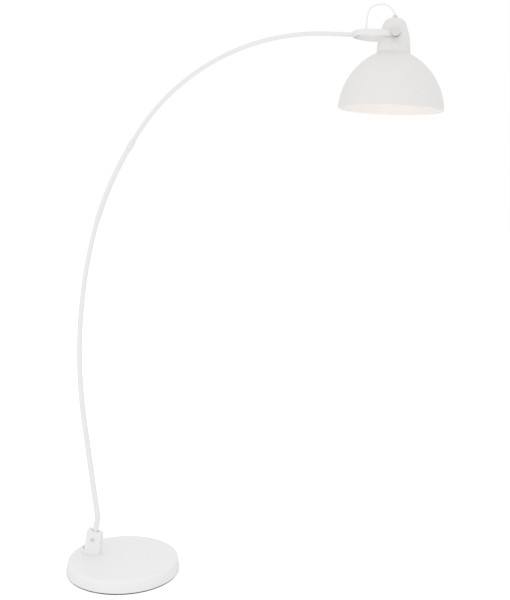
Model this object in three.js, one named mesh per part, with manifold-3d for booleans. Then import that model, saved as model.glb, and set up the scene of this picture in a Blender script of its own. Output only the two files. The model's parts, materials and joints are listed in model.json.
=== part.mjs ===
// Arc floor lamp: a round weighted base, a raked bracket that holds a bent steel arm on a clamp bolt,
// and a domed shade that tilts in a U-shaped yoke at the arm's end. A short cord loops over the yoke.
// Units are millimetres. +Z is up, the lamp stands on Z = 0, and the arm reaches along +X in the plane Y = 0.
// The origin is the middle of the base's underside.
import * as THREE from "three";
import { mergeVertices } from "three/addons/utils/BufferGeometryUtils.js";
import Module from "manifold-3d";

const wasm = await Module();
wasm.setup();

// ---------------------------------------------------------------- sizes

const GAP = 0.3; // between pieces that rest on each other
const HOLE = 0.3; // round a screw or pin, on the radius

const base = {
  radius: 175,
  height: 38.2,
  padThickness: 3.7,
  padInset: 2.5,
  wall: 1.6,
  flare: 4,
  edgeRadius: 8,
  plateThickness: 1.7,
  plateInset: 3.5,
  weightThickness: 15,
  weightInset: 17,
  weightChamfer: 3,
  bossRadius: 12,
  bossInset: 57, // of the screw bosses from the edge
  screwCount: 3,
  screwBite: 4, // into the weight
};

const bracket = {
  edgeInset: 71.5, // of its foot's middle from the edge of the base
  rake: 6, // degrees from upright
  topSlope: 12, // degrees, down towards the shade
  width: 49.6,
  sideRoom: 0.9, // between the arm and a cheek
  height: 73.5, // at the middle of its top
  wall: 2.2,
  cheek: 2,
  floor: 6.5,
  roof: 8,
  cornerRadius: 6,
  chamfer: 1,
  screwSpacing: 26,
  tapFloor: 1.3, // left above the tapped holes
};

const bush = {
  height: 16.5, // above the base
  bore: 3.2,
  body: 5.2,
  flange: 8,
  flangeThickness: 2.2,
  snout: 5.8,
  length: 8,
};

const armTilt = {
  limit: 3, // degrees each way, where the arm nears the end of the slot
  slotRoom: 0.6, // round the arm in the slot
  boltHeight: 47.8,
  boltOffset: -0.6, // of the bolt from the bracket's middle
  tailBelowBolt: 26,
  washer: 1.5,
  washerRadius: 6.5,
  nut: 5,
  nutRadius: 5.8,
  saddleRadius: 7.6,
};

const arm = {
  tailLean: 9, // degrees from upright, below the foot bend
  bendAboveBolt: 68.3, // along the tail
  bendRadius: 45,
  leanAtBend: -9.7, // degrees from upright, minus is away from the shade
  straight: 299.6,
  sweeps: [
    { radius: 1486, degrees: 22.5 },
    { radius: 973, degrees: 18 },
  ],
  upperSweep: { radius: 657, degrees: 62.6 },
  upperStraight: 73.6,
  footRadius: 9.1,
  topRadius: 7.5,
  lowerWall: 1.4,
  upperRadius: 6.5,
  upperWall: 1.3,
};

const collar = {
  length: 30,
  straight: 36, // of the arm through the collar
  wall: 1.2,
  chamfer: 2,
  clearance: 0.4,
  screwRadius: 1.9,
  screwHeight: 8,
  spigotReach: 17.5,
  spigotBore: 3.4,
  spigotClearance: 0.5,
};

const yoke = {
  reach: 130.7, // from the tip of the bow to the shade's pivot
  thickness: 5,
  height: 18,
  noseHeight: 15, // at the tip of the bow
  socketDepth: 14,
  bossLength: 19,
  screwRadius: 2.3,
  screwPlace: 11, // from the tip of the bow
};

const shade = {
  tilt: 1.9, // degrees that its axis leans towards +X
  rimRadius: 154,
  wall: 1.6,
  archRadius: 192, // of the round side, in a cut through the axis
  archDrop: 6.2, // of the round's centre below the rim
};

const cap = {
  radius: 49.2,
  rise: 104.6, // of its top above the crown of the shade
  wall: 2,
  pivotRise: 51.6, // of the pivot above the crown
  pivotOffset: 8, // of the pivot from the axis, towards +X
  pivotBossRadius: 11,
  pivotBossInset: 1.8, // of a boss's face from the foot's radius
  pivotDepth: 12, // of the screws in the bosses
  washer: 1,
  washerRadius: 10,
  lugRadius: 5.5,
  lugHeight: 13,
  lugCount: 3,
  screwBite: 9,
  glandHole: 5.3,
};

const gland = { flange: 7.9, dome: 7, rise: 9.3, stem: 12, nutRadius: 9.5, nut: 3.5 };

const holder = {
  radius: 19.8,
  drop: 45.4, // of its mouth below the crown
  rise: 24.6,
  bore: 14.3,
  boreRise: 6.6, // of the bore's end above the crown
  flange: 25,
  flangeThickness: 3.2,
  ringRadius: 27,
  ringHeight: 7,
  shellWall: 0.9,
  shellLength: 34,
  contactRadius: 4,
};

const knob = { radius: 12.5, height: 11.5, neck: 2.2, neckRadius: 7, socket: 9 };

const cordRadius = 2.75;
const cordRoom = 1.5; // round the cord in the yoke, for the grommet

const BUTTON_M6 = { shank: 3, head: 5.2, headHeight: 3.3, socket: 2.3, socketDepth: 2 };
const SCREW_M6 = { shank: 3, head: 5, headHeight: 5.5, socket: 2.9, socketDepth: 2.5 };
const SCREW_M5 = { shank: 2.5, head: 4.8, headHeight: 2.6, socket: 1.7, socketDepth: 1.2 };
const SCREW_M4 = { shank: 2, head: 3.8, headHeight: 2.6, socket: 1.4, socketDepth: 1.2 };

// Sides of the round pieces.
const sides = { base: 48, dome: 36, cap: 24, tube: 14, slot: 28, bore: 10, small: 16, screw: 10 };

// ---------------------------------------------------------------- finishes

function paint(color, roughness, metalness) {
  return new THREE.MeshStandardMaterial({ color, roughness, metalness });
}

const white = paint(0xe6e5e3, 0.55, 0);
const nickel = paint(0x9d9c99, 0.28, 1);
const zinc = paint(0xa9abac, 0.4, 1);
const iron = paint(0x3b3d3f, 0.8, 0.4);
const brass = paint(0xb99a4f, 0.35, 1);
const darkPad = paint(0x4b4c4d, 0.95, 0);
const nylon = paint(0xc9c9c7, 0.6, 0);
const whiteCord = paint(0xebeae8, 0.6, 0);
const porcelain = paint(0xf1f0ec, 0.35, 0);

// ---------------------------------------------------------------- tools

const radians = THREE.MathUtils.degToRad;
const degrees = THREE.MathUtils.radToDeg;

const lamp = new THREE.Group();

function add(name, geometry, material, parent = lamp) {
  const mesh = new THREE.Mesh(geometry, material);
  mesh.name = name;
  parent.add(mesh);
  return mesh;
}

// A group at a place in the plane Y = 0, turned about one axis.
function frameAt({ x, z }, axis, angle) {
  const frame = new THREE.Group();
  frame.position.set(x, 0, z);
  frame.rotation[axis] = angle;
  frame.updateMatrix();
  lamp.add(frame);
  return frame;
}

// A geometry as a solid that can be joined and cut.
function solid(geometry) {
  const bare = geometry.clone();
  bare.deleteAttribute("normal");
  bare.deleteAttribute("uv");
  const merged = mergeVertices(bare, 1e-4);
  return new wasm.Manifold(
    new wasm.Mesh({
      numProp: 3,
      vertProperties: merged.attributes.position.array,
      triVerts: new Uint32Array(merged.index.array),
    }),
  );
}

function geometryOf(body) {
  const mesh = body.getMesh();
  const geometry = new THREE.BufferGeometry();
  geometry.setAttribute("position", new THREE.BufferAttribute(mesh.vertProperties, 3));
  geometry.setIndex(new THREE.BufferAttribute(mesh.triVerts, 1));
  geometry.computeVertexNormals();
  return geometry;
}

function cut(body, ...tools) {
  return geometryOf(tools.reduce((left, tool) => left.subtract(solid(tool)), solid(body)));
}

function join(...bodies) {
  return geometryOf(bodies.map(solid).reduce((whole, next) => whole.add(next)));
}

function at(x, z) {
  return new THREE.Vector2(x, z);
}

function arc(x, z, radius, from, to, steps) {
  return Array.from({ length: steps + 1 }, (_, i) => {
    const angle = radians(from + ((to - from) * i) / steps);
    return at(x + radius * Math.cos(angle), z + radius * Math.sin(angle));
  });
}

function circle(radius, segments) {
  return arc(0, 0, radius, 0, 360, segments).slice(0, -1);
}

// Turns an outline of (radius, height) points about the Z axis. It starts and ends on the axis.
function turned(outline, segments) {
  const points = THREE.ShapeUtils.isClockWise(outline) ? [...outline].reverse() : outline;
  return new THREE.LatheGeometry(points, segments).rotateX(Math.PI / 2);
}

// The same for an outline that closes on itself, away from the axis.
function turnedRing(outline, segments) {
  const points = THREE.ShapeUtils.isClockWise(outline) ? [...outline].reverse() : outline;
  return new THREE.LatheGeometry([...points, points[0]], segments).rotateX(Math.PI / 2);
}

function ring(inner, outer, bottom, top, segments) {
  return turnedRing([at(inner, bottom), at(outer, bottom), at(outer, top), at(inner, top)], segments);
}

// Round bars: an upright one, one along Y between two places in any order, and one along X.
function bar(radius, bottom, top, x = 0, y = 0, segments = sides.small) {
  return new THREE.CylinderGeometry(radius, radius, top - bottom, segments)
    .rotateX(Math.PI / 2)
    .translate(x, y, (top + bottom) / 2);
}

function crossBar(radius, from, to, { x = 0, z = 0 } = {}, segments = sides.small) {
  return new THREE.CylinderGeometry(radius, radius, Math.abs(to - from), segments)
    .translate(x, (from + to) / 2, z);
}

function lengthBar(radius, from, to, segments = 20) {
  return new THREE.CylinderGeometry(radius, radius, to - from, segments)
    .rotateZ(Math.PI / 2)
    .translate((from + to) / 2, 0, 0);
}

// An outline of (x, z) points as a plate of the given depth, centred on Y = 0.
function plate(shape, depth, chamfer = 0) {
  return new THREE.ExtrudeGeometry(shape, {
    depth: depth - 2 * chamfer,
    bevelEnabled: chamfer > 0,
    bevelThickness: chamfer,
    bevelSize: chamfer,
    bevelOffset: -chamfer,
    bevelSegments: 1,
    curveSegments: 6,
  })
    .rotateX(Math.PI / 2)
    .translate(0, depth / 2 - chamfer, 0);
}

// A screw that points up, with its head's seat at Z = 0 and a hexagon socket in the head.
function screw(kind, length, segments = sides.screw) {
  const blank = turned(
    [
      at(0, -kind.headHeight),
      at(kind.head * 0.8, -kind.headHeight),
      at(kind.head, -kind.headHeight * 0.6),
      at(kind.head, 0),
      at(kind.shank, 0),
      at(kind.shank, length),
      at(0, length),
    ],
    segments,
  );
  return cut(blank, bar(kind.socket, -2 * kind.headHeight, kind.socketDepth - kind.headHeight, 0, 0, 6));
}

// A curve in the XZ plane of straight and round stretches, each tangent to the next. Its lean is the
// angle from upright towards +X, and a minus radius bends the other way.
class TangentChain extends THREE.Curve {
  constructor(start, lean, stretches) {
    super();
    this.start = start;
    this.lean = lean;
    this.stretches = stretches;
    this.total = 0;
    this.stations = [0];
    for (const { length, steps } of stretches) {
      for (let i = 1; i <= steps; i++) this.stations.push(this.total + (length * i) / steps);
      this.total += length;
    }
    this.steps = this.stations.length - 1;
  }

  // Puts the steps of a pipe at the ends of every stretch, and evenly between them.
  getUtoTmapping(u) {
    const step = Math.min(Math.floor(u * this.steps), this.steps - 1);
    const from = this.stations[step];
    const to = this.stations[step + 1];
    return THREE.MathUtils.lerp(from, to, u * this.steps - step) / this.total;
  }

  // The place and lean at a distance along the curve.
  stateAt(distance) {
    let left = distance;
    let lean = radians(this.lean);
    let { x, z } = this.start;
    for (const { length, radius } of this.stretches) {
      const run = Math.min(left, length);
      left -= run;
      if (radius) {
        const turnedLean = lean + run / radius;
        x += radius * (Math.cos(lean) - Math.cos(turnedLean));
        z += radius * (Math.sin(turnedLean) - Math.sin(lean));
        lean = turnedLean;
      } else {
        x += run * Math.sin(lean);
        z += run * Math.cos(lean);
      }
    }
    return { x, z, lean };
  }

  getPoint(t, target = new THREE.Vector3()) {
    const { x, z } = this.stateAt(t * this.total);
    return target.set(x, 0, z);
  }
}

function straight(length) {
  return { length, radius: 0, steps: 1 };
}

// A round stretch, in steps that keep within a quarter of a millimetre of the round.
function sweep({ radius, degrees: turn }) {
  const sagitta = 0.25;
  const stepAngle = 2 * Math.acos(1 - sagitta / Math.abs(radius));
  const angle = radians(Math.abs(turn));
  return { length: Math.abs(radius) * angle, radius, steps: Math.ceil(angle / stepAngle) };
}

// A pipe along a chain of stretches.
function pipe(path, radius, wall) {
  const section = new THREE.Shape(circle(radius, sides.tube));
  section.holes.push(new THREE.Path(circle(radius - wall, sides.bore).reverse()));
  return new THREE.ExtrudeGeometry(section, { steps: path.steps, extrudePath: path, bevelEnabled: false });
}

// Draws a pipe in towards its path, from its full size at the start to a share of it at the end.
function taper(geometry, path, share) {
  const samples = 600;
  const centres = path.getPoints(samples);
  const places = geometry.attributes.position;
  const point = new THREE.Vector3();
  for (let i = 0; i < places.count; i++) {
    point.fromBufferAttribute(places, i);
    let nearest = 0;
    centres.forEach((centre, j) => {
      if (centre.distanceToSquared(point) < centres[nearest].distanceToSquared(point)) nearest = j;
    });
    point.sub(centres[nearest]).multiplyScalar(1 + ((share - 1) * nearest) / samples).add(centres[nearest]);
    places.setXYZ(i, point.x, point.y, point.z);
  }
  return geometry;
}

// ---------------------------------------------------------------- places that pieces share

// The bracket, the bolt and the arm.
const rakeAngle = radians(bracket.rake);
const tailAngle = radians(arm.tailLean);
const bracketDepth = 2 * (arm.footRadius + bracket.sideRoom + bracket.cheek);

function bracketMiddle(height) {
  return bracket.edgeInset - base.radius + height * Math.tan(rakeAngle);
}

const tiltAxis = {
  x: bracketMiddle(armTilt.boltHeight) + armTilt.boltOffset,
  z: base.height + armTilt.boltHeight,
};

function onTail(distance) {
  return { x: tiltAxis.x + distance * Math.sin(tailAngle), z: tiltAxis.z + distance * Math.cos(tailAngle) };
}

const bendTurn = arm.leanAtBend - arm.tailLean;
const bendTangent = arm.bendRadius * Math.tan(radians(Math.abs(bendTurn)) / 2);
const collarStraight = (collar.straight - GAP) / 2;

const lowerPath = new TangentChain(onTail(-armTilt.tailBelowBolt), arm.tailLean, [
  straight(armTilt.tailBelowBolt + arm.bendAboveBolt - bendTangent),
  sweep({ radius: -arm.bendRadius, degrees: bendTurn }),
  straight(arm.straight - bendTangent),
  ...arm.sweeps.map(sweep),
  straight(collarStraight),
]);
const collarPlace = lowerPath.stateAt(lowerPath.total);
const upperStart = {
  x: collarPlace.x + GAP * Math.sin(collarPlace.lean),
  z: collarPlace.z + GAP * Math.cos(collarPlace.lean),
};
const upperPath = new TangentChain(upperStart, degrees(collarPlace.lean), [
  straight(collarStraight),
  sweep(arm.upperSweep),
  straight(arm.upperStraight + yoke.socketDepth - GAP),
]);

// The yoke and the shade's pivot.
const bossFace = cap.radius - cap.pivotBossInset;
const yokeInner = bossFace + cap.washer + 2 * GAP;
const yokeOuter = yokeInner + yoke.thickness;
const yokeTip = upperPath.stateAt(upperPath.total - yoke.socketDepth + GAP);
const yokeDip = yokeTip.lean - Math.PI / 2; // below level
const pivot = {
  x: yokeTip.x + yoke.reach * Math.cos(yokeDip),
  z: yokeTip.z - yoke.reach * Math.sin(yokeDip),
};

// The shade's side is one round arch from the rim to a flat crown that is as wide as the cap. The arch's
// centre lies past the axis. Heights are above the rim.
const archX = shade.rimRadius - Math.sqrt(shade.archRadius ** 2 - shade.archDrop ** 2);
const crownTop = Math.sqrt(shade.archRadius ** 2 - (cap.radius - archX) ** 2) - shade.archDrop;
const crownBottom = crownTop - shade.wall;
const capBottom = crownTop + GAP;
const capTop = crownTop + cap.rise;
const pivotHeight = crownTop + cap.pivotRise;
const pivotOnShade = { x: cap.pivotOffset, z: pivotHeight };
const shadeTilt = radians(shade.tilt);

// ---------------------------------------------------------------- base

const plateBottom = base.padThickness + GAP;
const plateTop = plateBottom + base.plateThickness;
const weightTop = base.height - base.wall - GAP;
const weightBottom = weightTop - base.weightThickness;

const plateScrewPlaces = Array.from({ length: base.screwCount }, (_, i) => {
  const angle = (2 * Math.PI * i) / base.screwCount;
  const distance = base.radius - base.bossInset;
  return { x: distance * Math.cos(angle), y: distance * Math.sin(angle) };
});
const bracketScrewPlaces = [-0.5, 0.5].map((side) => bracketMiddle(0) + side * bracket.screwSpacing);
const bracketScrewSeat = weightBottom + SCREW_M6.headHeight;

function makeCover() {
  const wallTop = base.height - base.edgeRadius;
  const bend = base.radius - base.flare - base.edgeRadius;
  const outline = [
    at(0, base.height),
    ...arc(bend, wallTop, base.edgeRadius, 90, 0, 3),
    at(base.radius, plateBottom),
    at(base.radius - base.wall, plateBottom),
    ...arc(bend, wallTop, base.edgeRadius - base.wall, 0, 90, 2),
    at(0, base.height - base.wall),
  ];
  const holes = bracketScrewPlaces.map((x) => bar(SCREW_M6.shank + HOLE, weightTop, 2 * base.height, x));
  add("base_cover", cut(turned(outline, sides.base), ...holes), white);
}

function makeWeight() {
  const radius = base.radius - base.weightInset;
  const disc = turned(
    [
      at(0, weightBottom),
      at(radius - base.weightChamfer, weightBottom),
      at(radius, weightBottom + base.weightChamfer),
      at(radius, weightTop),
      at(0, weightTop),
    ],
    32,
  );
  const root = 1; // of a boss in the disc
  const bosses = plateScrewPlaces.map(({ x, y }) =>
    bar(base.bossRadius, plateTop + GAP, weightBottom + root, x, y),
  );
  const tapTop = weightBottom + base.screwBite + 1;
  const taps = plateScrewPlaces.map(({ x, y }) => bar(SCREW_M5.shank + HOLE, 0, tapTop, x, y, sides.screw));
  const clearances = bracketScrewPlaces.flatMap((x) => [
    bar(SCREW_M6.shank + HOLE, 0, base.height, x),
    bar(SCREW_M6.head + 1, 0, bracketScrewSeat + GAP, x),
  ]);
  add("base_weight", cut(join(disc, ...bosses), ...taps, ...clearances), iron);
}

function makeUnderside() {
  const disc = bar(base.radius - base.plateInset, plateBottom, plateTop, 0, 0, sides.base);
  const holes = plateScrewPlaces.map(({ x, y }) => bar(SCREW_M5.shank + HOLE, 0, base.height, x, y));
  add("base_plate", cut(disc, ...holes), zinc);

  const pad = bar(base.radius - base.padInset, 0, base.padThickness, 0, 0, sides.base);
  const pocketFloor = plateBottom - SCREW_M5.headHeight - GAP;
  const pocketRadius = SCREW_M5.head + HOLE;
  const pockets = plateScrewPlaces.map(({ x, y }) => bar(pocketRadius, pocketFloor, base.height, x, y));
  add("base_pad", cut(pad, ...pockets), darkPad);

  const seat = plateBottom - 0.1;
  plateScrewPlaces.forEach(({ x, y }, i) => {
    const shape = screw(SCREW_M5, weightBottom + base.screwBite - seat);
    add(`plate_screw_${i + 1}`, shape, zinc).position.set(x, y, seat);
  });
}

// ---------------------------------------------------------------- bracket and tilt bolt

const bracketBottom = base.height + GAP;
const bracketTop = base.height + bracket.height;
const boltHole = crossBar(BUTTON_M6.shank + HOLE, -bracketDepth, bracketDepth, tiltAxis);

// A raked outline between two heights, as wide as the bracket less an inset. Its bottom is level and its
// top slopes.
function rakedOutline(bottom, top, inset, cornerRadius) {
  const half = bracket.width / 2 - inset;
  const foot = bracketMiddle(bottom - base.height);
  const middle = bracketMiddle(top - base.height);
  const slope = radians(bracket.topSlope);
  const halfTop = (half * Math.cos(rakeAngle)) / Math.cos(slope - rakeAngle);
  // A place near a top corner, measured from it along the top and down the side.
  const fromCorner = (side, along, down) => {
    const across = side * (halfTop - along);
    return [
      middle + across * Math.cos(slope) - down * Math.sin(rakeAngle),
      top - across * Math.sin(slope) - down * Math.cos(rakeAngle),
    ];
  };
  const shape = new THREE.Shape();
  shape.moveTo(foot - half, bottom);
  shape.lineTo(foot + half, bottom);
  shape.lineTo(...fromCorner(1, 0, cornerRadius));
  shape.quadraticCurveTo(...fromCorner(1, 0, 0), ...fromCorner(1, cornerRadius, 0));
  shape.lineTo(...fromCorner(-1, cornerRadius, 0));
  shape.quadraticCurveTo(...fromCorner(-1, 0, 0), ...fromCorner(-1, 0, cornerRadius));
  shape.closePath();
  return shape;
}

// The slot in the roof runs along the tail and lets it tilt. Its round ends are the stops.
function slotTools() {
  const upTail = (bracketTop - tiltAxis.z) / Math.cos(tailAngle);
  const reach = upTail * Math.tan(radians(armTilt.limit));
  const side = arm.footRadius + armTilt.slotRoom;
  const depth = 3 * bracket.roof;
  const middle = onTail(upTail);
  const ends = [-reach, reach].map((x) => bar(side, -depth / 2, depth / 2, x, 0, sides.slot));
  const between = new THREE.BoxGeometry(2 * reach, 2 * side, depth);
  return [...ends, between].map((tool) => tool.rotateY(tailAngle).translate(middle.x, 0, middle.z));
}

// Local Z points out of the bracket's rear wall.
const rearWall = frameAt(
  { x: bracketMiddle(bush.height) - bracket.width / 2, z: base.height + bush.height },
  "y",
  rakeAngle - Math.PI / 2,
);

function makeBracket() {
  const floorTop = bracketBottom + bracket.floor;
  const outer = rakedOutline(bracketBottom, bracketTop, 0, bracket.cornerRadius);
  const inner = rakedOutline(floorTop, bracketTop - bracket.roof, bracket.wall, 1);
  const tapTop = floorTop - bracket.tapFloor;
  const taps = bracketScrewPlaces.map((x) => bar(SCREW_M6.shank + HOLE, 0, tapTop, x, 0, sides.screw));
  const inlet = bar(bush.body + HOLE, -3 * bracket.wall, bracket.wall).applyMatrix4(rearWall.matrix);
  const shell = cut(
    plate(outer, bracketDepth, bracket.chamfer),
    plate(inner, bracketDepth - 2 * bracket.cheek),
    ...slotTools(),
    boltHole,
    inlet,
    ...taps,
  );
  add("stem_bracket", shell, white);

  const length = tapTop - GAP - bracketScrewSeat;
  bracketScrewPlaces.forEach((x, i) => {
    add(`bracket_screw_${i + 1}`, screw(SCREW_M6, length), zinc).position.set(x, 0, bracketScrewSeat);
  });
}

function makeInletBush() {
  const inside = -2 * bracket.wall;
  const outline = [
    at(bush.bore, inside),
    at(bush.body, inside),
    at(bush.body, GAP),
    at(bush.flange, GAP),
    at(bush.flange, bush.flangeThickness),
    at(bush.snout + 1, bush.flangeThickness + 0.7),
    at(bush.snout, bush.length),
    at(bush.bore, bush.length),
  ];
  add("cord_inlet_bush", turnedRing(outline, sides.small), nylon, rearWall);
}

function makeTiltBolt() {
  const bolt = frameAt(tiltAxis, "x", -Math.PI / 2); // local Z points to +Y
  const face = bracketDepth / 2 + GAP;
  const washerTop = face + armTilt.washer;
  const nutBottom = washerTop + GAP;
  const nutTop = nutBottom + armTilt.nut;
  const boltEnd = 1.2; // past the nut
  const boltShape = screw(BUTTON_M6, face + nutTop + boltEnd, sides.small);
  add("arm_pivot_bolt", boltShape, zinc, bolt).position.z = -face;
  const hole = BUTTON_M6.shank + HOLE;
  add("pivot_washer", ring(hole, armTilt.washerRadius, face, washerTop, sides.small), zinc, bolt);
  const blank = bar(armTilt.nutRadius, nutBottom, nutTop, 0, 0, 6);
  add("arm_pivot_nut", cut(blank, bar(hole, 0, 2 * nutTop)), zinc, bolt);
}

// The saddles lie between the round tail and the flat cheeks: hollow on one side, flat on the other.
function makeSaddles() {
  const outer = bracketDepth / 2 - bracket.cheek - GAP;
  const tail = new THREE.CylinderGeometry(arm.footRadius + GAP, arm.footRadius + GAP, bracket.height, 32)
    .rotateX(Math.PI / 2)
    .rotateY(tailAngle)
    .translate(tiltAxis.x, 0, tiltAxis.z);
  for (const [name, side] of [["pivot_saddle_front", -1], ["pivot_saddle_rear", 1]]) {
    const blank = crossBar(armTilt.saddleRadius, 0.5 * side * outer, side * outer, tiltAxis);
    add(name, cut(blank, tail, boltHole), nylon);
  }
}

// ---------------------------------------------------------------- arm

function makeTubes() {
  const even = pipe(lowerPath, arm.footRadius, arm.lowerWall);
  add("lower_tube", cut(taper(even, lowerPath, arm.topRadius / arm.footRadius), boltHole), white);
  add("upper_tube", pipe(upperPath, arm.upperRadius, arm.upperWall), white);
}

function makeCollar() {
  const joint = frameAt(collarPlace, "y", collarPlace.lean); // local Z runs up the arm
  const half = collar.length / 2;
  const lowerBore = arm.topRadius + collar.clearance;
  const upperBore = arm.upperRadius + collar.clearance;
  const boreStep = lowerBore > upperBore ? GAP : -1; // it faces the wider tube
  const outer = lowerBore + collar.wall;
  const sleeve = turnedRing(
    [
      at(lowerBore, -half),
      at(outer - collar.chamfer / 2, -half),
      at(outer, -half + collar.chamfer),
      at(outer, half - collar.chamfer),
      at(outer - collar.chamfer / 2, half),
      at(upperBore, half),
      at(upperBore, boreStep + 1),
      at(lowerBore, boreStep),
    ],
    20,
  );
  const place = { z: collar.screwHeight };
  const tap = crossBar(collar.screwRadius + HOLE, 0.5 * outer, 2 * outer, place, sides.screw);
  const setScrew = crossBar(collar.screwRadius, arm.upperRadius + GAP, outer - GAP, place, sides.screw);
  add("joint_collar", cut(sleeve, tap), white, joint);
  add("collar_set_screw", setScrew, zinc, joint);

  const topWall = arm.lowerWall * (arm.topRadius / arm.footRadius);
  const lowerSpigot = arm.topRadius - topWall - collar.spigotClearance;
  const upperSpigot = arm.upperRadius - arm.upperWall - collar.spigotClearance;
  const spigotStep = lowerSpigot > upperSpigot ? -1 : GAP;
  const spigot = turnedRing(
    [
      at(collar.spigotBore, -collar.spigotReach),
      at(lowerSpigot, -collar.spigotReach),
      at(lowerSpigot, spigotStep),
      at(upperSpigot, spigotStep + 1),
      at(upperSpigot, collar.spigotReach),
      at(collar.spigotBore, collar.spigotReach),
    ],
    sides.tube,
  );
  add("joint_spigot", spigot, zinc, joint);
}

// ---------------------------------------------------------------- yoke

// Its origin is at the shade's pivot, and local X runs from the bow to the pivot.
const yokeFrame = frameAt(pivot, "y", yokeDip);
const socketEnd = yoke.socketDepth - yoke.reach;
const bossEnd = yoke.bossLength - yoke.reach;
const screwX = yoke.screwPlace - yoke.reach;
const pivotHole = SCREW_M6.shank + HOLE;
const cordBore = cordRadius + cordRoom;
const bossHalf = yoke.noseHeight / 2 + 0.4;

// Draws the strap in above and below, evenly from the start of the bow to its tip.
function taperNose(geometry) {
  const places = geometry.attributes.position;
  for (let i = 0; i < places.count; i++) {
    const share = THREE.MathUtils.clamp((places.getX(i) + yoke.reach) / yokeOuter, 0, 1);
    places.setZ(i, places.getZ(i) * THREE.MathUtils.lerp(yoke.noseHeight / yoke.height, 1, share));
  }
  return geometry;
}

function makeYoke() {
  const bow = new THREE.Shape();
  const centre = yokeOuter - yoke.reach;
  bow.moveTo(0, yokeOuter);
  bow.lineTo(centre, yokeOuter);
  bow.absarc(centre, 0, yokeOuter, Math.PI / 2, (3 * Math.PI) / 2);
  bow.lineTo(0, -yokeOuter);
  bow.lineTo(0, -yokeInner);
  bow.lineTo(centre, -yokeInner);
  bow.absarc(centre, 0, yokeInner, (3 * Math.PI) / 2, Math.PI / 2, true);
  bow.lineTo(0, yokeInner);
  bow.closePath();
  const half = yoke.height / 2;
  const strap = new THREE.ExtrudeGeometry(bow, { depth: yoke.height, bevelEnabled: false, curveSegments: 18 })
    .translate(0, 0, -half);
  const eyes = [-1, 1].map((side) => crossBar(half, side * yokeInner, side * yokeOuter));
  const before = -yoke.reach - 2;
  const boss = lengthBar(bossHalf, 1 - yoke.reach, bossEnd);
  const socket = lengthBar(arm.upperRadius + GAP, before, socketEnd);
  const cordWay = lengthBar(cordBore, before, bossEnd + 1, sides.small);
  const eyeBore = crossBar(pivotHole, -2 * yokeOuter, 2 * yokeOuter);
  const tap = bar(yoke.screwRadius + HOLE, -yoke.height, 0, screwX, 0, sides.screw);
  const blank = join(taperNose(strap), boss, ...eyes);
  add("shade_yoke", cut(blank, socket, cordWay, eyeBore, tap), white, yokeFrame);
}

function makeYokeFittings() {
  const below = -bossHalf - 0.6;
  const grub = bar(yoke.screwRadius, below, -arm.upperRadius - GAP, screwX, 0, sides.screw);
  const recess = bar(yoke.screwRadius * 0.6, 2 * below, below + 1.4, screwX, 0, 6);
  add("yoke_set_screw", cut(grub, recess), zinc, yokeFrame);

  const sleeve = cordBore - GAP;
  const outline = [
    at(cordRadius + GAP, -4),
    at(sleeve, -4),
    at(sleeve, GAP),
    at(sleeve + 2.4, GAP),
    at(sleeve + 1.6, 2),
    at(cordRadius + GAP, 2),
  ];
  const grommet = turnedRing(outline, sides.small).rotateY(Math.PI / 2).translate(bossEnd, 0, 0);
  add("yoke_grommet", grommet, nylon, yokeFrame);
}

// ---------------------------------------------------------------- pivot of the shade

const pivotShank = yoke.thickness + cap.washer + 3 * GAP + cap.pivotDepth;

function makePivot() {
  const washer = ring(pivotHole, cap.washerRadius, bossFace + GAP, yokeInner - GAP, sides.small);
  add("friction_washer_front", washer, nylon, frameAt(pivot, "x", Math.PI / 2));
  add("friction_washer_rear", washer, nylon, frameAt(pivot, "x", -Math.PI / 2));

  const rear = add("rear_pivot_bolt", screw(SCREW_M6, pivotShank), zinc);
  rear.position.set(pivot.x, yokeOuter + GAP, pivot.z);
  rear.rotation.x = Math.PI / 2;
}

// A round thumb knob on a stud. Local Z points along the stud, into the lamp.
function makeKnob() {
  const front = new THREE.Group();
  front.position.set(pivot.x, -yokeOuter - GAP, pivot.z);
  front.rotation.x = -Math.PI / 2;
  lamp.add(front);
  const face = -knob.neck - knob.height;
  const outline = [
    at(0, face),
    at(knob.radius - 2.2, face),
    at(knob.radius - 0.7, face + 0.7),
    at(knob.radius, face + 2.2),
    at(knob.radius, -knob.neck - 1.2),
    at(knob.radius - 1.2, -knob.neck),
    at(knob.neckRadius, -knob.neck),
    at(knob.neckRadius, 0),
    at(pivotHole, 0),
    at(pivotHole, -knob.socket),
    at(0, -knob.socket),
  ];
  add("pivot_knob", turned(outline, 24), nickel, front);
  add("knob_stud", bar(SCREW_M6.shank, GAP - knob.socket, pivotShank), zinc, front);
}

// ---------------------------------------------------------------- shade

// Local Z is the shade's axis, with the rim at Z = 0.
const shadeFrame = frameAt(
  {
    x: pivot.x - cap.pivotOffset * Math.cos(shadeTilt) - pivotHeight * Math.sin(shadeTilt),
    z: pivot.z + cap.pivotOffset * Math.sin(shadeTilt) - pivotHeight * Math.cos(shadeTilt),
  },
  "y",
  shadeTilt,
);

const lugPlaces = Array.from({ length: cap.lugCount }, (_, i) => {
  const angle = (2 * Math.PI * (i + 0.5)) / cap.lugCount;
  const distance = cap.radius - cap.wall - cap.lugRadius;
  return { x: distance * Math.cos(angle), y: distance * Math.sin(angle) };
});

// The shade's side, set in by an inset, from the rim up to a height.
function domeSide(inset, top) {
  const radius = shade.archRadius - inset;
  const turnAt = (height) => degrees(Math.asin((height + shade.archDrop) / radius));
  return arc(archX, -shade.archDrop, radius, turnAt(0), turnAt(top), 9);
}

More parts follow.
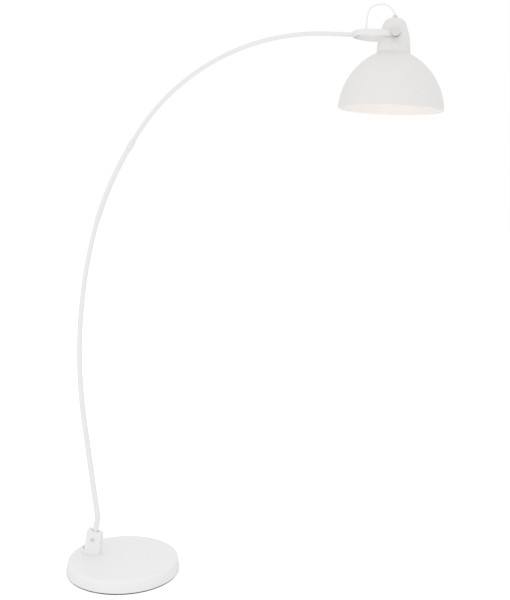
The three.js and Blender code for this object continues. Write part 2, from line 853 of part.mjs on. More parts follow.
function makeDome() {
  const crownHole = holder.radius + HOLE;
  const outline = [
    ...domeSide(0, crownTop),
    at(crownHole, crownTop),
    at(crownHole, crownBottom),
    ...domeSide(shade.wall, crownBottom).reverse(),
  ];
  const holes = lugPlaces.map(({ x, y }) => bar(SCREW_M4.shank + HOLE, 0, 2 * crownTop, x, y, sides.screw));
  add("shade_dome", cut(turnedRing(outline, sides.dome), ...holes), white, shadeFrame);
}

// The cap's side, set in by an inset, from its foot to the edge of the gland's hole. Each point is a
// distance in from the foot's radius and a share of the height.
function capSide(inset) {
  const height = capTop - capBottom - inset;
  const shape = [
    [0, 0],
    [1, 0.19],
    [4.6, 0.465],
    [11.2, 0.7],
    [17.8, 0.87],
    [25.6, 0.957],
    [36, 0.992],
  ];
  const foot = cap.radius - inset;
  const points = shape.map(([distance, share]) => at(foot - distance, capBottom + share * height));
  points.push(at(cap.glandHole, capBottom + height));
  return new THREE.SplineCurve(points).getPoints(10);
}

function makeCap() {
  const shell = turnedRing([...capSide(0), ...capSide(cap.wall).reverse()], sides.cap);
  const bosses = [-1, 1].map((side) =>
    crossBar(cap.pivotBossRadius, side * (bossFace - cap.pivotDepth), side * bossFace, pivotOnShade),
  );
  const lugs = lugPlaces.map(({ x, y }) => bar(cap.lugRadius, capBottom, capBottom + cap.lugHeight, x, y));
  const tapTop = capBottom + cap.lugHeight - 2;
  const taps = lugPlaces.map(({ x, y }) => bar(SCREW_M4.shank + HOLE, 0, tapTop, x, y, sides.screw));
  const bore = crossBar(pivotHole, -2 * bossFace, 2 * bossFace, pivotOnShade);
  add("neck_cap", cut(join(shell, ...bosses, ...lugs), bore, ...taps), white, shadeFrame);

  const crownScrew = screw(SCREW_M4, shade.wall + 2 * GAP + cap.screwBite);
  lugPlaces.forEach(({ x, y }, i) => {
    add(`crown_screw_${i + 1}`, crownScrew, zinc, shadeFrame).position.set(x, y, crownBottom - GAP);
  });
}

function makeGland() {
  const bore = cordRadius + GAP;
  const stem = cap.glandHole - HOLE;
  const outline = [
    at(bore, capTop - gland.stem),
    at(stem, capTop - gland.stem),
    at(stem, capTop + GAP),
    at(gland.flange, capTop + GAP),
    at(gland.flange, capTop + 3.4),
    at(gland.dome, capTop + 4),
    at(gland.dome, capTop + 6.4),
    at(gland.dome - 1.6, capTop + gland.rise - 0.8),
    at(gland.dome - 2.6, capTop + gland.rise),
    at(bore, capTop + gland.rise),
  ];
  add("cable_gland", turnedRing(outline, sides.small), nickel, shadeFrame);
  const nutTop = capTop - cap.wall - 1;
  const blank = bar(gland.nutRadius, nutTop - gland.nut, nutTop, 0, 0, 6);
  add("gland_locknut", cut(blank, bar(stem + HOLE, 0, 2 * capTop)), zinc, shadeFrame);
}

function makeLampholder() {
  const mouth = crownTop - holder.drop;
  const top = crownTop + holder.rise;
  const boreTop = crownTop + holder.boreRise;
  const flangeTop = capBottom + holder.flangeThickness;
  const shoulder = holder.radius - 2;
  const outline = [
    at(0, top),
    at(0.5 * holder.radius, top),
    at(shoulder, top - 8),
    at(shoulder, flangeTop),
    at(holder.flange, flangeTop),
    at(holder.flange, capBottom),
    at(holder.radius, capBottom),
    at(holder.radius, mouth),
    at(holder.bore, mouth),
    at(holder.bore, boreTop),
    at(0, boreTop),
  ];
  add("lampholder_body", turned(outline, 20), porcelain, shadeFrame);

  const ringTop = crownBottom - GAP;
  const clamp = ring(holder.radius + HOLE, holder.ringRadius, ringTop - holder.ringHeight, ringTop, 20);
  add("lampholder_ring", clamp, porcelain, shadeFrame);

  const shellRadius = holder.bore - HOLE;
  const shellBottom = mouth + 6;
  const shellTop = shellBottom + holder.shellLength;
  const shell = ring(shellRadius - holder.shellWall, shellRadius, shellBottom, shellTop, 20);
  add("lampholder_shell", shell, brass, shadeFrame);
  add("lampholder_contact", bar(holder.contactRadius, boreTop - 4, boreTop - GAP), brass, shadeFrame);
}

// ---------------------------------------------------------------- jumper cord

// From the bore of the yoke, up between its arms, over in a loop and down into the gland.
function makeJumperCord() {
  const route = [
    [700, 1656],
    [707.5, 1655.6],
    [713.8, 1657.8],
    [720.2, 1664.1],
    [724.2, 1673.5],
    [725.8, 1685.5],
    [726.6, 1697.5],
    [727.6, 1709.5],
    [730.4, 1722],
    [736.4, 1733.2],
    [748.6, 1741.8],
    [768, 1745.1],
    [785, 1741.7],
    [796.4, 1733],
    [804, 1724],
    [809.2, 1716],
    [809.6, 1710.5],
    [809.4, 1705.5],
  ];
  const points = route.map(([x, z]) => new THREE.Vector3(x, 0, z));
  const section = new THREE.Shape(circle(cordRadius, sides.bore));
  const path = new THREE.CatmullRomCurve3(points, false, "centripetal");
  const geometry = new THREE.ExtrudeGeometry(section, { steps: 22, extrudePath: path, bevelEnabled: false });
  add("jumper_cord", geometry, whiteCord);
}

makeCover();
makeWeight();
makeUnderside();
makeBracket();
makeInletBush();
makeTiltBolt();
makeSaddles();
makeTubes();
makeCollar();
makeYoke();
makeYokeFittings();
makePivot();
makeKnob();
makeDome();
makeCap();
makeGland();
makeLampholder();
makeJumperCord();

export default lamp;
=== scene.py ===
"""The looks of an arc floor lamp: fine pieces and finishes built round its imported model.

Lengths are in metres and angles in radians. +Z is up, the arm reaches along +X in the plane Y = 0,
and the origin is the middle of the base's underside.
"""

import json
import math

import bmesh
import bpy
from mathutils import Matrix, Vector
from mathutils.geometry import interpolate_bezier

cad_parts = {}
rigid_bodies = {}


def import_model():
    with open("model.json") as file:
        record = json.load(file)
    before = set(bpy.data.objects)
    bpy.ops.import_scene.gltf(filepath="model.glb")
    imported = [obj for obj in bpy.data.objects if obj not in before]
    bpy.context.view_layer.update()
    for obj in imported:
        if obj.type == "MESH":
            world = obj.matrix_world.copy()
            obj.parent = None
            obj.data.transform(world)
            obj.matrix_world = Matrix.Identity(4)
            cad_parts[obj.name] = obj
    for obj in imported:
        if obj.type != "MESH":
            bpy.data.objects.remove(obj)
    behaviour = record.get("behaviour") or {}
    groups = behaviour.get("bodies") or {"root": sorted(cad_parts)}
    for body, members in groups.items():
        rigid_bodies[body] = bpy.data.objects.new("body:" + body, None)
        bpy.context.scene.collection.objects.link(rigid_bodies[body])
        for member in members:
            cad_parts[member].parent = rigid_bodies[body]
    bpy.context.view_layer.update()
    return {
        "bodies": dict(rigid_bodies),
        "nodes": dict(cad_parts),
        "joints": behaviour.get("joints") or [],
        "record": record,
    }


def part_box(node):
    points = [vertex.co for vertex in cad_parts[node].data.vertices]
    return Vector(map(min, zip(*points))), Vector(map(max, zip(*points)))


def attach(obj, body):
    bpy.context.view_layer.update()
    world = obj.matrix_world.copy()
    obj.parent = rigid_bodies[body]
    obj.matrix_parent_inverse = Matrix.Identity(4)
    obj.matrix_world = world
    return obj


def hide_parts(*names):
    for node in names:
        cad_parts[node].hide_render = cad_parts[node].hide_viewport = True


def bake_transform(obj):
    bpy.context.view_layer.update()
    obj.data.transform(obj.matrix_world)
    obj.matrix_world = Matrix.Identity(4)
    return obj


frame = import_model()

# ---------------------------------------------------------------- sizes

GAP = 0.0003  # between pieces that rest on each other
CLOSE = 1e-7  # what counts as the same place
WELD = 1e-6  # points nearer than this become one
SHEET = 0.0016  # thickness of the spun metal of the base and the shade
M6_SHANK = 0.003
M6_HOLE = M6_SHANK + GAP
M4_SHANK = 0.002
M4_HOLE = M4_SHANK + GAP

BASE_RADIUS = 0.175
BASE_TOP = 0.0382
BASE_FLARE = 0.004
BASE_EDGE = 0.008
PAD_THICKNESS = 0.0037
PAD_RADIUS = 0.1725

BRACKET_FOOT = -0.1035
BRACKET_RAKE = math.radians(6)
BRACKET_SLOPE = math.radians(12)  # of its top, down towards the shade
BRACKET_WIDTH = 0.0496
BRACKET_DEPTH = 0.024
BRACKET_HEIGHT = 0.0735  # at the middle of its top
BRACKET_CORNER = 0.006
BRACKET_ROOF = 0.008
SLOT_ROOM = 0.0006  # between the arm and the slot
SLOT_SIDES = 28
TILT_LIMIT = math.radians(3)
BUSH_HEIGHT = 0.0165

TAIL_LEAN = math.radians(9)
TAIL_BELOW_BOLT = 0.026
BEND_ABOVE_BOLT = 0.0683
BEND_RADIUS = 0.045
BEND_TURN = math.radians(-18.7)
FOOT_STRAIGHT = 0.2996
LOWER_SWEEP = (1.486, math.radians(22.5))  # radius and turn
MIDDLE_SWEEP = (0.973, math.radians(18))
UPPER_SWEEP = (0.657, math.radians(62.6))
HEAD_STRAIGHT = 0.0736
FOOT_RADIUS = 0.0091
TOP_RADIUS = 0.0075
UPPER_RADIUS = 0.0065
COLLAR_STRAIGHT = 0.01785

YOKE_REACH = 0.1307
YOKE_DIP = math.radians(3.4)
YOKE_INNER = 0.049
YOKE_THICKNESS = 0.005
YOKE_OUTER = YOKE_INNER + YOKE_THICKNESS
YOKE_HEIGHT = 0.018
YOKE_NOSE = 0.015  # height at the tip of the bow
YOKE_SOCKET = 0.014
YOKE_BOSS = 0.019
YOKE_SCREW = 0.011  # from the tip of the bow
BOSS_FACE = 0.0474  # of the cap's pivot bosses, from the middle

CAP_RADIUS = 0.0492
RIM_RADIUS = 0.154
ARCH_RADIUS = 0.192  # of the shade's round side
ARCH_DROP = 0.0062  # of that round's centre below the rim
ARCH_MIDDLE = RIM_RADIUS - math.sqrt(ARCH_RADIUS**2 - ARCH_DROP**2)
CROWN = math.sqrt(ARCH_RADIUS**2 - (CAP_RADIUS - ARCH_MIDDLE) ** 2) - ARCH_DROP
CAP_TOP = CROWN + 0.1046
PIVOT_HEIGHT = CROWN + 0.0516
PIVOT_OFFSET = 0.008
SHADE_TILT = math.radians(1.9)
HOLDER_RADIUS = 0.0198
CROWN_HOLE = HOLDER_RADIUS + GAP

CORD_RADIUS = 0.00275
CORD_BORE = CORD_RADIUS + GAP

pivots = {joint["name"]: Vector(joint["pos_m"]) for joint in frame["joints"]}
arm_pivot = pivots["arm_tilt"]
shade_pivot = pivots["shade_tilt"]

# ---------------------------------------------------------------- camera

# The camera looks level from the front and a little from the shade's side, and is rolled slightly.
VIEW_TURN = math.radians(12)
VIEW_ROLL = math.radians(1.04)
CAMERA_PLACE = (0.9330, -2.5113, 1.1758)
right = Vector((math.cos(VIEW_TURN), math.sin(VIEW_TURN), 0))
back = Vector((math.sin(VIEW_TURN), -math.cos(VIEW_TURN), 0))
across = right * math.cos(VIEW_ROLL) + Vector((0, 0, 1)) * math.sin(VIEW_ROLL)
camera_data = bpy.data.cameras.new("camera")
camera_data.sensor_width = 36
camera_data.lens = 50.84
camera_data.shift_y = -0.1743
camera_data.clip_end = 100
camera = bpy.data.objects.new("camera", camera_data)
bpy.context.scene.collection.objects.link(camera)
turn = Matrix((across, back.cross(across), back)).transposed().to_4x4()
camera.matrix_world = Matrix.Translation(CAMERA_PLACE) @ turn
bpy.context.scene.camera = camera

# ---------------------------------------------------------------- shader groups


def feed(tree, socket, value):
    """Sets a socket to a value, or links it to another node's socket."""
    if isinstance(value, bpy.types.NodeSocket):
        tree.links.new(value, socket)
    else:
        socket.default_value = value


def add_node(tree, kind, **sockets):
    """A node with its named sockets fed. A socket's name is given without its spaces."""
    node = tree.nodes.new(kind)
    for name, value in sockets.items():
        feed(tree, next(s for s in node.inputs if s.name.replace(" ", "") == name), value)
    return node


def math_node(tree, operation, *values):
    """The output of a math node whose sockets are fed in order."""
    node = tree.nodes.new("ShaderNodeMath")
    node.operation = operation
    for socket, value in zip(node.inputs, values):
        feed(tree, socket, value)
    return node.outputs[0]


def start_skin(name, shade_change, sheen_change, size_name, size):
    """A shader group for a fine skin, as (group, its inputs, object coordinates)."""
    group = bpy.data.node_groups.new(name, "ShaderNodeTree")
    inputs = [
        ("Color", "NodeSocketColor", (0.8, 0.8, 0.8, 1)),
        ("Shade Change", "NodeSocketFloat", shade_change),
        ("Roughness", "NodeSocketFloat", 0.5),
        ("Sheen Change", "NodeSocketFloat", sheen_change),
        (size_name, "NodeSocketFloat", size),
    ]
    for socket, kind, value in inputs:
        made = group.interface.new_socket(socket, in_out="INPUT", socket_type=kind)
        made.default_value = value
    for socket in ("Color", "Roughness", "Height"):
        kind = "NodeSocketColor" if socket == "Color" else "NodeSocketFloat"
        group.interface.new_socket(socket, in_out="OUTPUT", socket_type=kind)
    given = group.nodes.new("NodeGroupInput").outputs
    place = group.nodes.new("ShaderNodeTexCoord").outputs["Object"]
    return group, given, place


def finish_skin(group, given, tone, mottle, spread, height):
    """Mottle varies the colour round a tone, spread varies the roughness, and height goes out."""
    shade = math_node(group, "MULTIPLY_ADD", mottle, given["Shade Change"], tone)
    toned = group.nodes.new("ShaderNodeVectorMath")
    toned.operation = "SCALE"
    group.links.new(given["Color"], toned.inputs[0])
    group.links.new(shade, toned.inputs["Scale"])
    end = group.nodes.new("NodeGroupOutput").inputs
    group.links.new(toned.outputs[0], end["Color"])
    sheen = math_node(group, "MULTIPLY_ADD", spread, given["Sheen Change"], given["Roughness"])
    group.links.new(sheen, end["Roughness"])
    group.links.new(height, end["Height"])
    return group


def make_coat_grain():
    """Powder coat: a fine pebbled skin, with a faint cloudiness in its shade and sheen."""
    group, given, place = start_skin("coat_grain", 0.02, 0.06, "Grain Size", 0.0012)
    per_grain = math_node(group, "DIVIDE", 1.0, given["Grain Size"])
    pebbles = add_node(group, "ShaderNodeTexNoise", Vector=place, Scale=per_grain, Detail=2.0)
    clouds = add_node(group, "ShaderNodeTexNoise", Vector=place, Scale=14.0, Detail=3.0)
    specks = add_node(group, "ShaderNodeTexNoise", Vector=place, Scale=260.0, Detail=2.0)
    both = math_node(group, "ADD", clouds.outputs[0], specks.outputs[0])
    change = math_node(group, "SUBTRACT", both, 1.0)
    return finish_skin(group, given, 1.0, change, change, pebbles.outputs[0])


def make_metal_skin():
    """Plated or machined metal: fine marks that run round the piece, and a mottled sheen."""
    group, given, place = start_skin("metal_skin", 0.05, 0.1, "Mark Scale", 1500.0)
    drawn = add_node(group, "ShaderNodeMapping", Vector=place, Scale=(1.0, 0.12, 1.0)).outputs[0]
    scale = given["Mark Scale"]
    marks = add_node(group, "ShaderNodeTexNoise", Vector=drawn, Scale=scale, Detail=3.0)
    mottle = add_node(group, "ShaderNodeTexVoronoi", Vector=place, Scale=700.0)
    mottle.feature = "SMOOTH_F1"
    spread = math_node(group, "SUBTRACT", marks.outputs[0], 0.5)
    return finish_skin(group, given, 0.97, mottle.outputs["Distance"], spread, marks.outputs[0])


coat_grain = make_coat_grain()
metal_skin = make_metal_skin()

# ---------------------------------------------------------------- materials


def srgb(value):
    """A display value from 0 to 255 as a linear one."""
    share = value / 255
    return share / 12.92 if share <= 0.04045 else ((share + 0.055) / 1.055) ** 2.4


def skinned(group, name, color, depth, metallic=0.0, coat=0.0, **values):
    """A material whose colour, roughness and fine relief come from a shader group."""
    material = bpy.data.materials.new(name)
    material.use_nodes = True
    tree = material.node_tree
    shader = tree.nodes["Principled BSDF"]
    shader.inputs["Metallic"].default_value = metallic
    shader.inputs["Coat Weight"].default_value = coat
    skin = tree.nodes.new("ShaderNodeGroup")
    skin.node_tree = group
    skin.inputs["Color"].default_value = (*[srgb(c) for c in color], 1)
    for socket, value in values.items():
        skin.inputs[socket.replace("_", " ").title()].default_value = value
    height = skin.outputs["Height"]
    bump = add_node(tree, "ShaderNodeBump", Height=height, Distance=depth, Strength=1.0)
    tree.links.new(skin.outputs["Color"], shader.inputs["Base Color"])
    tree.links.new(skin.outputs["Roughness"], shader.inputs["Roughness"])
    tree.links.new(bump.outputs["Normal"], shader.inputs["Normal"])
    return material


def painted(name, color, roughness, grain=0.0012, depth=0.00002, **more):
    """The fine skin of a paint, a moulding or a casting."""
    return skinned(coat_grain, name, color, depth, roughness=roughness, grain_size=grain, **more)


def plated(name, color, roughness, **more):
    """Plated or machined metal."""
    return skinned(metal_skin, name, color, 0.000002, metallic=1.0, roughness=roughness, **more)


lamp_white = painted("lamp_white", (232, 231, 230), 0.48)
# The arm's white paint, a little lighter and cooler on the base and its bracket: painted light.
base_white_lit = painted("base_white_lit", (234, 234, 234), 0.48)
# The shade's white is painted a little darker than the arm's: painted shade for the dimmer light at
# the head.
shade_white = painted("shade_white", (227, 226, 225), 0.5)
# The inside's white, lighter and warmer than the outside: partly its own paint, partly painted
# light.
shade_inside_lit = painted("shade_inside_lit", (245, 240, 236), 0.42)
pad_felt = painted("pad_felt", (46, 46, 47), 0.9, grain=0.0008, depth=0.0003, shade_change=0.25)
cast_iron = painted(
    "cast_iron", (60, 62, 64), 0.72, grain=0.003, depth=0.0004, shade_change=0.2, metallic=0.4
)
zinc = plated("zinc_plate", (228, 225, 222), 0.3, shade_change=0.08)
nickel = plated("nickel_plate", (222, 221, 218), 0.22, shade_change=0.04)
nylon = painted("pale_nylon", (204, 203, 200), 0.52, grain=0.0009)
bush_nylon = painted("bush_nylon", (204, 199, 195), 0.5, grain=0.0009)
# Black oxide for the yoke's set screw. On the knob's side and neck the same dark finish is a
# painted reflection and painted shade.
black_oxide_and_painted_shade = plated("black_oxide_and_painted_shade", (92, 92, 91), 0.45)
porcelain = painted("holder_white", (240, 238, 233), 0.3, grain=0.002, depth=0.000008, coat=0.3)
brass = plated("brass", (200, 172, 108), 0.3, shade_change=0.1)
cord_sheath = painted("cord_sheath", (243, 242, 240), 0.55, grain=0.0007, depth=0.00001)

# ---------------------------------------------------------------- places and lines


def at(x, z, lean=0.0):
    """A frame in the plane Y = 0, its Z axis leaning from upright towards +X."""
    return Matrix.Translation((x, 0, z)) @ Matrix.Rotation(lean, 4, "Y")


def sideways(place, side):
    """A frame whose Z axis points to the front, -Y, for side -1 and to the rear, +Y, for side 1."""
    return Matrix.Translation(place) @ Matrix.Rotation(-side * math.pi / 2, 4, "X")


def up(height):
    """A move along a frame's own Z axis."""
    return Matrix.Translation((0, 0, height))


# Turns a frame so that its Z axis points where its X axis did.
Z_TO_X = Matrix.Rotation(math.pi / 2, 4, "Y")


def arc(x, z, radius, start, end, steps):
    """Points round part of a circle, with angles from the X axis."""
    angles = [start + (end - start) * i / steps for i in range(steps + 1)]
    return [(x + radius * math.cos(a), z + radius * math.sin(a)) for a in angles]


def smooth_line(points, steps):
    """Points along a smooth line through the given ones."""
    points = [Vector(p) for p in points]
    ends = [points[0], *points, points[-1]]
    line = []
    for before, start, end, after in zip(ends, ends[1:], ends[2:], ends[3:]):
        leaving = start + (end - before) / 6
        arriving = end - (after - start) / 6
        line += interpolate_bezier(start, leaving, arriving, end, steps + 1)[:-1]
    return [*line, points[-1]]


class Bend:
    """The frames of a line in the plane Y = 0, made of straight and round stretches."""

    def __init__(self, start):
        self.frames = [start]

    def go(self, length, turn=0.0, steps=1):
        """Goes on for a length in even steps, turning by an angle towards its local X."""
        step_turn = turn / steps
        if turn:
            radius = length / turn
            ahead = (radius * (1 - math.cos(step_turn)), 0, radius * math.sin(step_turn))
        else:
            ahead = (0, 0, length / steps)
        move = Matrix.Translation(ahead)
        rotation = Matrix.Rotation(step_turn, 4, "Y")
        for _ in range(steps):
            self.frames.append(self.frames[-1] @ move @ rotation)
        return self

    def sweep(self, radius, turn, steps):
        """Goes round part of a circle."""
        return self.go(radius * turn, turn, steps)

    def tube(self, first_radius, last_radius):
        """A round bar along the line, thinning evenly from its first radius to its last."""
        lengths = [0.0]
        for before, after in zip(self.frames, self.frames[1:]):
            lengths.append(lengths[-1] + (after.translation - before.translation).length)
        growth = last_radius - first_radius
        radii = [first_radius + growth * length / lengths[-1] for length in lengths]
        scaled = [frame @ Matrix.Diagonal((r, r, 1, 1)) for frame, r in zip(self.frames, radii)]
        return swept(round_section(40), scaled)


# ---------------------------------------------------------------- making pieces


def only(kind, geom):
    """The verts, edges or faces in an operator's result."""
    return [g for g in geom if isinstance(g, kind)]


def rounded(bm, geom, reach, segments=4, affect="VERTICES"):
    """Rounds corners. The round reaches a distance along the sides next to each."""
    bmesh.ops.bevel(
        bm,
        geom=geom,
        offset=reach,
        offset_type="OFFSET",
        segments=segments,
        profile=0.5,
        affect=affect,
        material=-1,
    )


def draw_outline(points, closed):
    """A line in the plane Y = 0 through (radius, height) or (radius, height, rounding) points."""
    bm = bmesh.new()
    corners = [bm.verts.new((point[0], 0, point[1])) for point in points]
    for pair in zip(corners, corners[1:]):
        bm.edges.new(pair)
    if closed:
        bm.edges.new((corners[-1], corners[0]))
    for corner, point in zip(corners, points):
        if len(point) == 3:
            rounded(bm, [corner], point[2])
    return bm


def spin_round(bm, steps, rise=0.0):
    """Spins an outline once round the Z axis. With a rise it climbs by that much and stays open."""
    bmesh.ops.spin(
        bm,
        geom=bm.verts[:] + bm.edges[:],
        axis=(0, 0, 1),
        cent=(0, 0, 0),
        dvec=(0, 0, rise / steps),
        angle=2 * math.pi,
        steps=steps,
        use_merge=rise == 0,
    )
    bmesh.ops.remove_doubles(bm, verts=bm.verts, dist=WELD)
    bmesh.ops.recalc_face_normals(bm, faces=bm.faces)


def spun(outline, steps=96, place=Matrix.Identity(4), closed=True):
    """An outline spun to a solid. One that starts and ends on the axis isn't closed."""
    bm = draw_outline(outline, closed)
    spin_round(bm, steps)
    bmesh.ops.transform(bm, matrix=place, verts=bm.verts)
    return bm


def swept(bm, frames):
    """Carries a flat section, a bmesh of one loop of edges, through frames and closes both ends."""
    bmesh.ops.transform(bm, matrix=frames[0], verts=bm.verts)
    loop = bm.edges[:]
    bmesh.ops.contextual_create(bm, geom=loop)
    for before, after in zip(frames, frames[1:]):
        grown = bmesh.ops.extrude_edge_only(bm, edges=loop)["geom"]
        verts, edges = only(bmesh.types.BMVert, grown), only(bmesh.types.BMEdge, grown)
        bmesh.ops.transform(bm, matrix=after @ before.inverted(), verts=verts)
        loop = [edge for edge in edges if all(v in verts for v in edge.verts)]
    bmesh.ops.contextual_create(bm, geom=loop)
    bmesh.ops.recalc_face_normals(bm, faces=bm.faces)
    return bm


def round_section(segments):
    """A circle of radius 1."""
    bm = bmesh.new()
    bmesh.ops.create_circle(bm, cap_ends=False, segments=segments, radius=1)
    return bm


def slab_section(width, height, rounding):
    """A rectangle in the XY plane with rounded corners."""
    bm = bmesh.new()
    bmesh.ops.create_circle(bm, cap_ends=False, segments=4, radius=math.sqrt(0.5))
    eighth = Matrix.Rotation(math.pi / 4, 3, "Z")
    bmesh.ops.rotate(bm, verts=bm.verts, cent=(0, 0, 0), matrix=eighth)
    bmesh.ops.scale(bm, vec=(width, height, 1), verts=bm.verts)
    rounded(bm, bm.verts[:], rounding)
    return bm


def merge_in(bm, other):
    """Adds another bmesh's shape to the first one."""
    mesh = bpy.data.meshes.new("part")
    other.to_mesh(mesh)
    other.free()
    bm.from_mesh(mesh)
    bpy.data.meshes.remove(mesh)


def hexed(verts, half_width):
    """Moves a circle's points onto a hexagon that is half_width from its middle to each side."""
    for vert in verts:
        from_side = math.atan2(vert.co.y, vert.co.x) % (math.pi / 3) - math.pi / 6
        vert.co.xy = vert.co.xy.normalized() * half_width / math.cos(from_side)


def screw_head(place, radius, height, socket, depth, rounding):
    """A round head with a hexagon socket in its top. Its seat is at Z = 0 and it points to +Z."""
    outline = [
        (0, 0),
        (radius, 0, 0.0002),
        (radius, height, rounding),
        (socket, height),
        (socket, height - depth),
        (0, height - depth),
    ]
    bm = spun(outline, 24, closed=False)
    hexed([v for v in bm.verts if abs(v.co.xy.length - socket) < CLOSE], socket)
    bmesh.ops.transform(bm, matrix=place, verts=bm.verts)
    return bm


def shank(place, radius, length):
    """A round shank from Z = 0 down, with a chamfered end."""
    outline = [(0, 0), (radius, 0), (radius, -length, 0.0005), (0, -length)]
    return spun(outline, 24, place, closed=False)


def screw(place, shank_radius, length, **head):
    """A head on its shank. The head's seat is at Z = 0."""
    bm = screw_head(place, **head)
    merge_in(bm, shank(place, shank_radius, length))
    return bm


def hex_nut(place, hole, half_width, height):
    """A nut that stands on Z = 0, with its corners chamfered at both ends."""
    chamfer = 0.12 * half_width
    corner = half_width / math.cos(math.pi / 6)
    outline = [
        (hole, 0, 0.0003),
        (half_width, 0),
        (corner, chamfer),
        (corner, height - chamfer),
        (half_width, height),
        (hole, height, 0.0003),
    ]
    bm = spun(outline, 24)
    hexed([v for v in bm.verts if v.co.xy.length > corner - CLOSE], half_width)
    bmesh.ops.transform(bm, matrix=place, verts=bm.verts)
    return bm


def finish_piece(name, bm, body, slot, nodes, *materials):
    """A shaded piece from a bmesh. It stands for CAD nodes and rides on a body, if one is given."""
    mesh = bpy.data.meshes.new(name)
    bm.to_mesh(mesh)
    bm.free()
    mesh.shade_smooth()
    mesh.set_sharp_from_angle(angle=math.radians(35))
    for material in materials:
        mesh.materials.append(material)
    piece = bpy.data.objects.new(name, mesh)
    bpy.context.scene.collection.objects.link(piece)
    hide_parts(*nodes)
    if body:
        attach(piece, body)
    return piece


def give_wall(piece, thickness, offset):
    """A wall on a piece's surface: inside it for an offset of -1, and half on each side for 0."""
    wall = piece.modifiers.new("wall", "SOLIDIFY")
    wall.thickness = thickness
    wall.offset = offset


# ---------------------------------------------------------------- jumper cord

# Out of the yoke, over in a loop and down into the gland on top of the cap. (x, z) places.
CORD_ROUTE = [
    (0.700, 1.656),
    (0.7075, 1.6556),
    (0.7138, 1.6578),
    (0.7202, 1.6641),
    (0.7242, 1.6735),
    (0.7258, 1.6855),
    (0.7266, 1.6975),
    (0.7276, 1.7095),
    (0.7304, 1.722),
    (0.7364, 1.7332),
    (0.7486, 1.7418),
    (0.768, 1.7451),
    (0.785, 1.7417),
    (0.7964, 1.733),
    (0.804, 1.724),
    (0.8092, 1.716),
    (0.8096, 1.7105),
    (0.8094, 1.7055),
]


def make_jumper_cord():
    line = smooth_line([(x, 0, z) for x, z in CORD_ROUTE], 6)
    thick = Matrix.Diagonal((CORD_RADIUS, CORD_RADIUS, 1, 1))
    frames = []
    for before, here, after in zip([line[0], *line], line, [*line[1:], line[-1]]):
        ahead = after - before
        frames.append(at(here.x, here.z, math.atan2(ahead.x, ahead.z)) @ thick)
    bm = swept(round_section(20), frames)
    cord = finish_piece("cord_loop", bm, None, "cord_white", ["jumper_cord"], cord_sheath)
    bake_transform(cord)


make_jumper_cord()

# ---------------------------------------------------------------- base


def make_base():
    bend = BASE_RADIUS - BASE_FLARE - BASE_EDGE
    wall_top = BASE_TOP - BASE_EDGE
    wall_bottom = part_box("base_cover")[0].z
    outline = [
        (0, BASE_TOP),
        *arc(bend, wall_top, BASE_EDGE, math.pi / 2, 0, 10),
        (BASE_RADIUS, wall_bottom, 0.0006),
        (BASE_RADIUS - SHEET, wall_bottom, 0.0006),
        *arc(bend, wall_top, BASE_EDGE - SHEET, 0, math.pi / 2, 6),
        (0, BASE_TOP - SHEET),
    ]
    cover = spun(outline, 160, closed=False)
    # The cover takes the lighter white, which is painted light.
    finish_piece("cover_shell", cover, "base", "lamp_white", ["base_cover"], base_white_lit)

    outline = [
        (0, 0),
        (PAD_RADIUS, 0, 0.0012),
        (PAD_RADIUS, PAD_THICKNESS, 0.0008),
        (0, PAD_THICKNESS),
    ]
    pad = spun(outline, 128, closed=False)
    finish_piece("foot_pad", pad, "base", "pad_rubber", ["base_pad"], pad_felt)


make_base()

# ---------------------------------------------------------------- bracket


def bracket_middle(height):
    """Where the bracket's middle lies along X at a height above the base."""
    return BRACKET_FOOT + height * math.tan(BRACKET_RAKE)


def cut_slot(bm, middle, reach, depth):
    """Cuts a round-ended slot into the face at Z = 0, along planes that touch its outline."""
    hole = next(f for f in bm.faces if abs(f.calc_center_median().z) < CLOSE)
    for i in range(SLOT_SIDES):
        angle = 2 * math.pi * i / SLOT_SIDES
        facing = Vector((math.cos(angle), math.sin(angle), 0))
        end = Vector((middle + math.copysign(reach, facing.x), 0, 0))
        where = end + facing * (FOOT_RADIUS + SLOT_ROOM)
        around = [hole, *hole.edges, *hole.verts]
        cut = bmesh.ops.bisect_plane(bm, geom=around, plane_co=where, plane_no=facing, dist=CLOSE)
        halves = only(bmesh.types.BMFace, cut["geom"])
        hole = next(f for f in halves if (f.calc_center_median() - where).dot(facing) < 0)
    rim = hole.edges[:]
    bmesh.ops.delete(bm, geom=[hole], context="FACES_ONLY")
    walls = bmesh.ops.extrude_edge_only(bm, edges=rim)["geom"]
    bmesh.ops.translate(bm, vec=depth, verts=only(bmesh.types.BMVert, walls))


